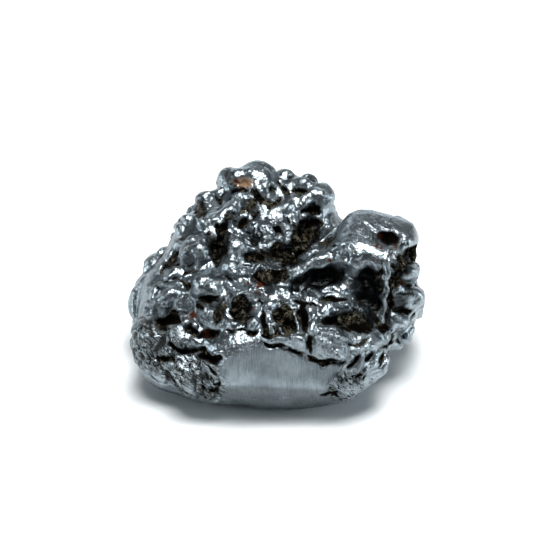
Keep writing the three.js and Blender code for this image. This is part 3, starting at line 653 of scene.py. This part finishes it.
# The rows of all patches, such as smooth and stain, are across, up, half sizes and turn.
stone = dict(
    squares=128,  # along each edge of the cube it grows from
    quickSquares=96,
    easing=0.8,  # how far inside the box it starts to ease off
    blurs=(6, 34),  # how often the skin is blurred to find its near and wide hollows
    ragged=0.3,  # how far the rims of the dirt, dust and painted shade stray
    dents=(2.2, 0.09),  # size and depth of the soft dents on the knobs
    lumps=[(2.7, 0.42), (1.3, 0.13)],  # size and height of the sharply creased lumps, most at the back
    cups=[(1.5, 0.34), (0.8, 0.17)],  # size and depth of the sharp-rimmed cups in crumpled iron
    cupShare=0.75,  # of that depth
    calming=0.85,  # how much dirt and painted shade the smooth places lose
    dustiness=0.46,  # how deep in dirt the dusty places are, of 1
    bandShade=0.5,  # how dark the painted shade on the band under the face is, of 1
    crumpled=[
        # has cups and no lumps
        (1.6, 5.4, 3.4, 3.4, 0),  # horseshoe
        (1.2, 0.6, 4.4, 3.2, 0),  # valley floor
        (-3, 3.6, 1.4, 3.4, 25), (6.4, 3.6, 2.2, 3.8, -20),
        (-4.2, -6.2, 2.6, 3.4, 0),  # pits
        (2.6, -8.2, 2.8, 3.6, 0),
        (10.6, -10.8, 3.4, 3.4, -20),  # ribbed mound
        (-9.4, -7.2, 2.4, 2.2, 0),  # stack of slabs
        (-13.9, -3.6, 1, 1.8, 0), (14, -8.2, 4.4, 1.8, 0), (20.6, 1.6, 1.4, 2.2, 0),
        (10.2, 7, 1.8, 2.2, 0), (-3.6, 12.4, 2.6, 1.4, 0),
    ],
    smooth=[
        # has neither cups nor lumps, and little dirt and painted shade
        (16.6, 5.4, 7.6, 4.4, -12),  # top of the anvil
        (8.5, 0.8, 5.5, 1.8, 22),  # its rim
        (8, -2.2, 4.6, 2, 24), (14.5, -3.2, 3.4, 4.6, 8),
        (7.9, 11.5, 2.5, 2.2, -20),  # bulb
        (2.6, 9.6, 3.2, 0.9, 28),
        (-10, -2.9, 2.6, 1.9, -8),  # egg
        (-16.8, -4.8, 4.4, 2.2, 33),  # lobe over the left corner
        (22.7, -4.6, 2.5, 2.1, 0),  # right stack
        (22, -0.3, 2.2, 1.7, -28), (20.4, -8, 1.7, 1.7, 0),
        (-1.9, 15.6, 2.4, 2, 0),  # crown
        (-7.4, 14.3, 1.6, 2.4, 12),
        (-11.6, 2.5, 2.5, 2.5, 0),  # dark boulder
        (-10.6, 10.7, 1.7, 2.1, 8),
    ],
    grimyAndShaded=[
        # painted shade with some dirt: black in the caves, holes and crevices, and under the egg and
        # the brow
        (19.1, 5, 2, 1.3, -10),  # cave with rust
        (4.8, 12.8, 1.3, 0.45, -8), (0.4, 13.2, 0.75, 0.4, -15),
        (6.5, 9.7, 1.9, 0.55, 6),  # cave under the bulb
        (7.2, 7.7, 1, 0.5, 10), (4.7, 3, 1.1, 0.5, 25), (1.2, 6.8, 0.7, 0.6, 0),
        (-4.4, 7.7, 0.8, 0.7, 10), (-7.4, 6.6, 0.8, 0.45, 0),
        (-8.4, 4.2, 0.4, 3.2, 0),  # beside the boulder
        (-5.2, 12.9, 1.3, 0.35, 12), (-1.7, 2.2, 0.8, 0.7, 0), (-11.2, 3.2, 0.7, 0.5, 30),
        (-16.3, -8.1, 2.2, 1, 14),  # hole over the tongue
        (-9.8, -4.4, 2, 0.4, 6),  # under the egg
        (-11.3, -5.8, 1, 0.5, -50), (-9.9, -10.2, 1.6, 0.75, 8), (-12.4, -9.3, 1.7, 0.3, -42),
        (-10, -14.1, 2, 0.75, -12),  # between the tongues
        (-16.8, -14.3, 1.2, 0.35, -22), (-5, -9.7, 2.6, 0.25, -3), (-1, -8.4, 0.4, 2.4, 0),
        (5.4, -7.4, 0.7, 2.7, 4), (5.9, -5.4, 2.4, 0.35, -12), (6.4, -12, 0.45, 1.6, 8),
        (3.4, -12.9, 2.6, 0.2, -12),
        (9.2, -14.6, 3.2, 0.4, -2),  # under the brow
        (10.2, -8.3, 2.2, 0.55, 0), (10.3, -4.7, 2.6, 0.5, -3), (14.5, -9.4, 2.6, 0.9, -12),
        (18.3, -9.4, 1.2, 0.9, 30), (13.5, -14.7, 1.6, 0.4, 48), (15.9, -13.9, 1.1, 0.5, 60),
        (17.8, -14.2, 1.3, 0.4, 62), (19, -12, 1.1, 0.4, 40), (14.3, -17, 1, 0.35, 20),
        (21.9, -3.9, 1.9, 0.3, -4), (21.6, -6.6, 1.6, 0.4, 8), (19.5, -4.4, 0.35, 2.6, 4),
        (9.6, -19.9, 1.6, 0.3, 12), (-9.2, -19.3, 0.5, 0.5, 0), (-8.5, -18.4, 0.5, 0.3, 0),
    ],
    dusty=[
        # coated with pale grit
        (-12.9, 1.4, 1.1, 1.3, 20),  # foot of the dark boulder
        (-9.6, 4.9, 1, 1.5, 10),
        (-4.7, -6.2, 1.9, 2.6, 0),  # pits
        (-8, -6.6, 1, 2.6, -20), (2.6, -7.6, 1.5, 2.4, 8),
        (0.8, -0.9, 2.6, 1.2, 8),  # floor of the valley
        (1.6, 2.6, 2.2, 1.5, -20), (5, 5.2, 1.9, 3, -16), (-2.8, 1.9, 2, 0.9, -20),
        (-7.6, 4.6, 1.2, 3.4, 0), (-6.2, 8.6, 1.4, 1.2, 20), (-2.2, 11.2, 2.4, 0.7, 10),
        (-11.2, 9.4, 1.1, 1.4, 20), (-15.6, 1.4, 1.6, 0.9, 40), (13.2, -8.6, 3.6, 1.4, -8),
        (21, 0.9, 1.1, 1.7, 0), (-6.3, 14.6, 0.8, 1.6, 10),
    ],
    paintedShade=[
        # painted shade: darker, but smooth, on the anvil's facets and in the cave, the valley floor and
        # the pits
        (7.6, -1.6, 4.8, 1.9, 15),  # facets of the anvil
        (15.8, -3.4, 2.8, 4.4, 6), (13.4, -7.8, 4, 2, -8),
        (6.2, 6.2, 2, 3.4, -14),  # cave under the bulb
        (-11.2, 10.2, 1, 1.7, 0),
        (0.6, -1.1, 2.6, 1.1, 8),  # floor of the valley
        (-2.4, 2.2, 1.7, 0.9, 0), (3, 2.2, 1.6, 1.6, 0),
        (-4.6, -6, 1.8, 2.2, 0),  # pits
        (2.4, -8, 1.6, 2.4, 8), (-2.2, 5.6, 1, 1.8, -20), (-7.4, 5.4, 0.9, 3, 0),
        (21.9, 0.8, 1, 2, 0), (20.4, -5.4, 1.6, 1.6, 0),
    ],
    crystals=(0.75, 0.16),  # rough grains at the bottom of the hollows
    scales=(0.55, 0.2),  # flaky folds
    scaleStretch=(1, 2.2, 4.0),  # across, back and up
    scaly=[
        (-18.7, -12, 4.5, 4.8, 0),  # left corner
        (-13, -16.3, 7, 4, -38), (12.2, -18.7, 3.2, 2.6, 30),
    ],
    rust=[
        # across, up and radius of each spot
        (17.8, 5.5, 0.4), (17.1, 3.9, 0.4), (18, 3.5, 0.25), (17.2, 1.6, 0.25), (20.3, 3.7, 0.35),
        (20.8, -2.3, 0.4), (9.6, 1.5, 0.35), (-1.9, -3.8, 0.4), (-0.3, -4.2, 0.3),
        (-3.6, -2.1, 0.25), (-1.6, -2, 0.7), (-10, -10.1, 0.6), (-12.6, -7.2, 0.7),
        (-5.6, 14.4, 0.5), (-2.5, -6.2, 0.3),
    ],
    stain=[(-4.2, 14.1, 1.7, 0.9, 0)],
)


def placed(name, data):
    holder = bpy.data.objects.new(name, data)
    bpy.context.collection.objects.link(holder)
    return holder


def easedIn(points):
    # what would pass the solid's box eases off below it: limit - soft e^(-over / soft)
    low, high = (np.array(corner) / mm for corner in cadBox)
    soft = stone["easing"]
    over = np.maximum(points - (high - soft), 0)
    points = np.where(over > 0, high - soft * np.exp(-over / soft), points)
    over = np.maximum(low + soft - points, 0)
    over[:, 2] = 0
    points = np.where(over > 0, low + soft * np.exp(-over / soft), points)
    points[:, 2] = np.maximum(points[:, 2], 0)
    return points


def buildStone():
    squares = stone["squares"]
    points, faces, counts = grownSkin(squares)
    out = facingOut(points, faces)
    print("stone: skin of", len(faces), "triangles")

    # how far each corner lies below the skin round it, near and wide
    spacing = stone["squares"] / squares
    nearTimes, wideTimes = (round(times / spacing) for times in stone["blurs"])
    nearMean = blurred(points, faces, counts, nearTimes)
    wideMean = blurred(nearMean, faces, counts, wideTimes)
    hollowNear = ((nearMean - points) * out).sum(1)
    hollowWide = ((wideMean - points) * out).sum(1)
    # this hollow measure darkens the metal in creases and pits, which is painted shade, and brings dirt
    # there
    hollow = smoothStep(2.1 * hollowNear + 0.6 * hollowWide, 0.0, 0.6)

    pressed = np.zeros(len(points))
    for at, facing, _ in body["flats"]:
        facing = np.array(facing) / np.linalg.norm(facing)
        near = 1 - smoothStep(np.abs((points - np.array(at)) @ facing), 0.15, 0.5)
        onFlat = near * smoothStep(out @ facing, 0.75, 0.93)
        pressed = np.maximum(pressed, onFlat)
    onBand = onFlat  # the last flat is the band under the face

    # what the front eye sees of the patches; dirt, dust and painted shade have ragged rims
    across, up = seenAt(points)
    front = (out @ frontEye["towards"]) > 0.05
    smooth, crumpled, scaly, stain = (
        patches(across, up, stone[name]) * front for name in ("smooth", "crumpled", "scaly", "stain")
    )
    raggedAcross = across + stone["ragged"] * grain(points, 0.9, 40)
    raggedUp = up + stone["ragged"] * grain(points, 0.9, 41)
    grimyAndShaded, dusty, paintedShade = (
        patches(raggedAcross, raggedUp, stone[name]) * front for name in ("grimyAndShaded", "dusty", "paintedShade")
    )
    # painted shade on the band under the face
    paintedShade = np.maximum(paintedShade, stone["bandShade"] * onBand)
    calm = np.maximum(pressed, smooth)
    hollow = hollow * (1 - stone["calming"] * calm)
    hollow = np.maximum(hollow, stone["dustiness"] * dusty)

    # the small relief, by which each corner rises or sinks
    cupped = np.zeros(len(points))
    lean = strayed(points, 0.35, 1.2, 11)
    for k, (size, depth) in enumerate(stone["cups"]):
        cupped += depth * (cells(lean, size, 20 + k) ** 2 - 0.35) * crumpled * stone["cupShare"]
    for k, (size, height) in enumerate(stone["lumps"]):
        lumps = height * (0.35 - cells(lean, size, 30 + k) ** 2)
        cupped += lumps * (1 - crumpled) * (1 - 0.8 * front)
    rise = cupped * (1 - calm)
    size, depth = stone["dents"]
    polish = (1 - hollow) * (1 - pressed)
    rise += depth * grain(points, size, 1) * polish
    rise += 0.4 * depth * grain(points, size / 2.3, 2) * polish
    size, depth = stone["crystals"]
    rough = 1 - np.abs(grain(points, size, 3)) * 2
    rise += depth * rough * hollow * (1 - pressed)
    rise += 0.5 * depth * grain(points, size / 2, 4) * hollow
    size, depth = stone["scales"]
    folds = strayed(points, 0.8, 2.5, 5) / np.array(stone["scaleStretch"])
    fold = np.abs(grain(folds, size, 8))
    rise += depth * (1 - 2.2 * fold) * scaly * (1 - 0.5 * hollow)
    # painted shade: dark in the grooves between the scales
    grimyAndShaded = np.maximum(grimyAndShaded, 0.8 * smoothStep(fold, 0.42, 0.6) * scaly)
    points = points + rise[:, None] * out

    rust = np.zeros(len(points))
    for a, u, r in stone["rust"]:
        away = np.hypot(across - a, up - u) / r + 0.8 * grain(points, 0.4, 9)
        rust = np.maximum(rust, (1 - smoothStep(away, 0.7, 1.2)) * front)
    rust = np.maximum(rust, smoothStep(grain(points, 0.9, 10) + 0.5 * hollow, 1.15, 1.35) * 0.5)

    points = easedIn(points - np.array(body["middle"]))
    mesh = bpy.data.meshes.new("stone")
    mesh.vertices.add(len(points))
    mesh.vertices.foreach_set("co", (points * mm).astype(np.float32).ravel())
    mesh.loops.add(faces.size)
    mesh.loops.foreach_set("vertex_index", faces.astype(np.int32).ravel())
    mesh.polygons.add(len(faces))
    mesh.polygons.foreach_set("loop_start", np.arange(0, faces.size, 3, dtype=np.int32))
    mesh.update(calc_edges=True)
    mesh.shade_smooth()
    looks = (hollow, grimyAndShaded, paintedShade, rust, pressed, scaly, stain, crumpled)
    for name, values in zip(lookNames, looks):
        layer = mesh.attributes.new(name, "FLOAT", "POINT")
        layer.data.foreach_set("value", values.astype(np.float32))
    return placed("stone", mesh)


class Finish:
    # a material whose nodes are added by name; a value is a number, a colour or a wire
    def __init__(self, name):
        self.material = bpy.data.materials.new(name)
        self.material.use_nodes = True
        self.tree = self.material.node_tree
        self.tree.nodes.clear()

    def add(self, kind, settings=None, out=0, **values):
        node = self.tree.nodes.new("ShaderNode" + kind)
        for key, value in (settings or {}).items():
            setattr(node, key, value)
        for key, value in values.items():
            numbered = key[0] == "i" and key[1:].isdigit()
            socket = node.inputs[int(key[1:]) if numbered else key.replace("_", " ")]
            if isinstance(value, Wire):
                self.tree.links.new(value.socket, socket)
            else:
                socket.default_value = value
        return Wire(self, node.outputs[out]) if node.outputs else None

    def noise(self, place, scale, detail, roughness, **more):
        values = dict(Vector=place, Scale=scale, Detail=detail, Roughness=roughness)
        return self.add("TexNoise", **values, **more)

    def step(self, value, low, high, **ends):
        # 0 below low, 1 above high, smooth between, unless other ends are given
        settings = {"interpolation_type": "SMOOTHSTEP"}
        return self.add("MapRange", settings, i0=value, i1=low, i2=high, **ends)

    def blend(self, share, a, b):
        # colour a where the share is 0, b where it is 1
        settings = {"data_type": "RGBA", "clamp_factor": True}
        return self.add("Mix", settings, out=2, i0=share, i6=a, i7=b)


class Wire:
    # one socket; + - * and most on wires and numbers add Math nodes
    def __init__(self, finish, socket):
        self.finish = finish
        self.socket = socket

    def math(self, operation, a, b):
        return self.finish.add("Math", {"operation": operation}, i0=a, i1=b)

    def __add__(self, other):
        return self.math("ADD", self, other)

    __radd__ = __add__

    def __sub__(self, other):
        return self.math("SUBTRACT", self, other)

    def __rsub__(self, other):
        return self.math("SUBTRACT", other, self)

    def __mul__(self, other):
        return self.math("MULTIPLY", self, other)

    __rmul__ = __mul__

    def most(self, other):
        return self.math("MAXIMUM", self, other)


iron = dict(
    bare=(0.520, 0.585, 0.625, 1),
    dark=(0.110, 0.132, 0.147, 1),
    dim=(0.013, 0.0145, 0.0145, 1),
    # near black, for dirt and for painted shade in the crevices
    dirtAndShade=(0.010, 0.008, 0.006, 1),
    paleDirt=(0.125, 0.117, 0.083, 1),
    rust=(0.07, 0.018, 0.005, 1),
    stain=(0.42, 0.30, 0.20, 1),
    polished=0.25,
    brushed=0.42,
    rough=0.8,
    relief=0.0002,  # height of the bump, metres
    strand=(0.0026, 0.0010, 0.0007),  # metres along, back and across the strands
    brushing=(5200.0, 700.0, 420.0),  # strokes to a metre on the face
    # scale, detail and roughness of each noise
    clouds=(260.0, 4.0, 0.6),
    fineGrain=(1900.0, 3.0, 0.6),
    glints=(1100.0, 4.0, 0.7),
    middling=(950.0, 3.0, 0.55),
    speckles=(3300.0, 2.0, 0.6),
    lines=(1.0, 2.0, 0.5),
)


def ironFinish():
    f = Finish("iron")
    place = f.add("TexCoord", out=3)
    read = [f.add("Attribute", {"attribute_name": name}, out=2) for name in lookNames]
    hollow, grimyAndShaded, paintedShade, rust, pressed, scaly, stain, crumpled = read
    names = ("clouds", "fineGrain", "glints", "middling", "speckles")
    clouds, fineGrain, glints, middling, speckles = [f.noise(place, *iron[name]) for name in names]
    stretched = f.add("Mapping", i0=place, Rotation=(0, 0.5, 0), Scale=iron["brushing"])
    scratches = f.noise(stretched, *iron["lines"])
    pricks = f.step(speckles, 0.56, 0.64)
    crumbs = f.step(speckles * 0.5 + middling * 0.6, 0.5, 0.68)
    streaks = f.step(scratches, 0.52, 0.66)

    # painted shade: thin dark lines where a stretched noise crosses its middle, in the creases of
    # strands that lie down to the right
    settings = {"vector_type": "TEXTURE"}
    lying = f.add("Mapping", settings, i0=place, Rotation=(0, 0.65, 0), Scale=iron["strand"])
    strands = f.noise(lying, *iron["lines"], Distortion=0.5)
    offMiddle = (strands - 0.5).most(0.5 - strands)
    creaseShade = f.step(offMiddle, 0.015, 0.07, i3=1.0, i4=0.0) * scaly

    # dirt and painted shade: dark in the hollows and crumpled places, on the shaded patches and in the
    # strand creases
    grimeAndShade = f.step(hollow * 1.1 + crumpled * 0.16 + clouds * 0.5 - glints * 1.5, -0.06, 0.14)
    grimeAndShade = grimeAndShade.most(grimyAndShaded).most(creaseShade * 0.9)
    pricked = pricks * (0.34 + crumpled * 0.3 + scaly * 0.2 - pressed * 0.28)
    metal = f.blend(clouds, iron["dark"], iron["bare"])
    metal = f.blend(pricked, metal, iron["dim"])
    # painted shade: the metal darkens in the hollows, on the shaded patches and a little in crumpled
    # places
    metal = f.blend(hollow * 1.5 + crumpled * 0.15 + paintedShade * 0.85, metal, iron["dim"])
    metal = f.blend(pressed * (0.14 + streaks * 0.16), metal, iron["dim"])
    dirtAndShade = f.blend(crumbs, iron["dirtAndShade"], iron["paleDirt"])
    # painted shade: black on the shaded patches
    dirtAndShade = f.blend(grimyAndShaded, dirtAndShade, iron["dirtAndShade"])
    colour = f.blend(grimeAndShade, metal, dirtAndShade)
    colour = f.blend(stain * 0.8, colour, iron["stain"])
    colour = f.blend(rust, colour, iron["rust"])

    polished = iron["polished"]
    rough = polished + 0.08 * clouds + pressed * (iron["brushed"] - polished)
    rough = rough + scaly * 0.1 + crumpled * 0.06
    rough = rough + grimeAndShade * (iron["rough"] - polished) + rust * 0.4
    metallic = 1 - (grimeAndShade * crumbs * (1 - grimyAndShaded)).most(rust * 0.5).most(stain * 0.6) * 0.9

    height = fineGrain * (0.35 + hollow * 0.6 + scaly * 0.5 + crumpled * 0.4)
    height = height + scratches * (0.2 + pressed * 0.9)
    height = height + middling * (0.9 + crumpled * 0.9 - pressed * 0.8)
    height = height - pricks * (0.6 + crumpled * 0.5 - pressed * 0.5)
    height = height + grimeAndShade * crumbs * 0.9 - creaseShade * 1.2
    bump = f.add("Bump", Strength=0.9, Distance=iron["relief"], Height=height)
    looks = dict(Base_Color=colour, Roughness=rough, Metallic=metallic, Normal=bump)
    f.add("OutputMaterial", Surface=f.add("BsdfPrincipled", **looks))
    return f.material


def emptyStage():
    # a pale table that fills the view
    reach = 1.5
    corners = [(-reach, -reach, 0), (reach, -reach, 0), (reach, reach, 0), (-reach, reach, 0)]
    mesh = bpy.data.meshes.new("table")
    mesh.from_pydata(corners, [], [(0, 1, 2, 3)])
    table = placed("table", mesh)
    f = Finish("tableTop")
    shader = f.add("BsdfPrincipled", Base_Color=(0.88, 0.90, 0.915, 1), Roughness=0.6)
    f.add("OutputMaterial", Surface=shader)
    mesh.materials.append(f.material)


lamps = [
    # name, place in metres, aimed at, size across and along, watts, colour
    ("overhead", (0.035, -0.04, 0.6), (0, 0, 0.01), (0.36, 0.3), 4.7, (0.985, 0.99, 0.98)),
    ("behind", (-0.05, 0.75, 0.16), (0, 0, 0.03), (0.9, 0.2), 1.3, (0.92, 0.97, 1)),
    ("right", (0.7, -0.12, 0.2), (0, 0, 0.02), (0.5, 0.3), 2.0, (0.90, 0.97, 1)),
    ("left", (-0.7, 0.0, 0.15), (0, 0, 0.02), (0.5, 0.2), 1.5, (0.90, 0.97, 1)),
]


def addLamps():
    for name, at, aim, size, watts, colour in lamps:
        lamp = bpy.data.lights.new(name, "AREA")
        lamp.shape = "RECTANGLE"
        lamp.size, lamp.size_y = size
        lamp.energy = watts
        lamp.color = colour
        holder = placed(name, lamp)
        holder.location = at
        holder.rotation_euler = (Vector(aim) - Vector(at)).to_track_quat("-Z", "Y").to_euler()


def roomLight():
    world = bpy.data.worlds.new("room")
    world.use_nodes = True
    background = world.node_tree.nodes["Background"]
    background.inputs["Color"].default_value = (0.80, 0.88, 0.95, 1)
    background.inputs["Strength"].default_value = 0.02
    bpy.context.scene.world = world


def addCamera():
    lens = bpy.data.cameras.new("camera")
    sensor = 36
    lens.sensor_width = sensor
    lens.lens = sensor * eyeDistance / pictureWidth
    lens.clip_start = 0.01
    camera = placed("camera", lens)
    camera.location = Vector(frontEye["at"] - np.array(body["middle"])) * mm
    camera.rotation_euler = Vector(-frontEye["towards"]).to_track_quat("-Z", "Y").to_euler()
    bpy.context.scene.camera = camera


stonePiece = buildStone()
stonePiece.data.materials.append(ironFinish())
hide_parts("meteorite")
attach(stonePiece, "root")
print("stone: finished")

emptyStage()
addLamps()
roomLight()
addCamera()
bpy.context.scene.view_settings.view_transform = "Standard"
bpy.context.scene.view_settings.look = "Medium High Contrast"
print("stage: table, lamps and camera")
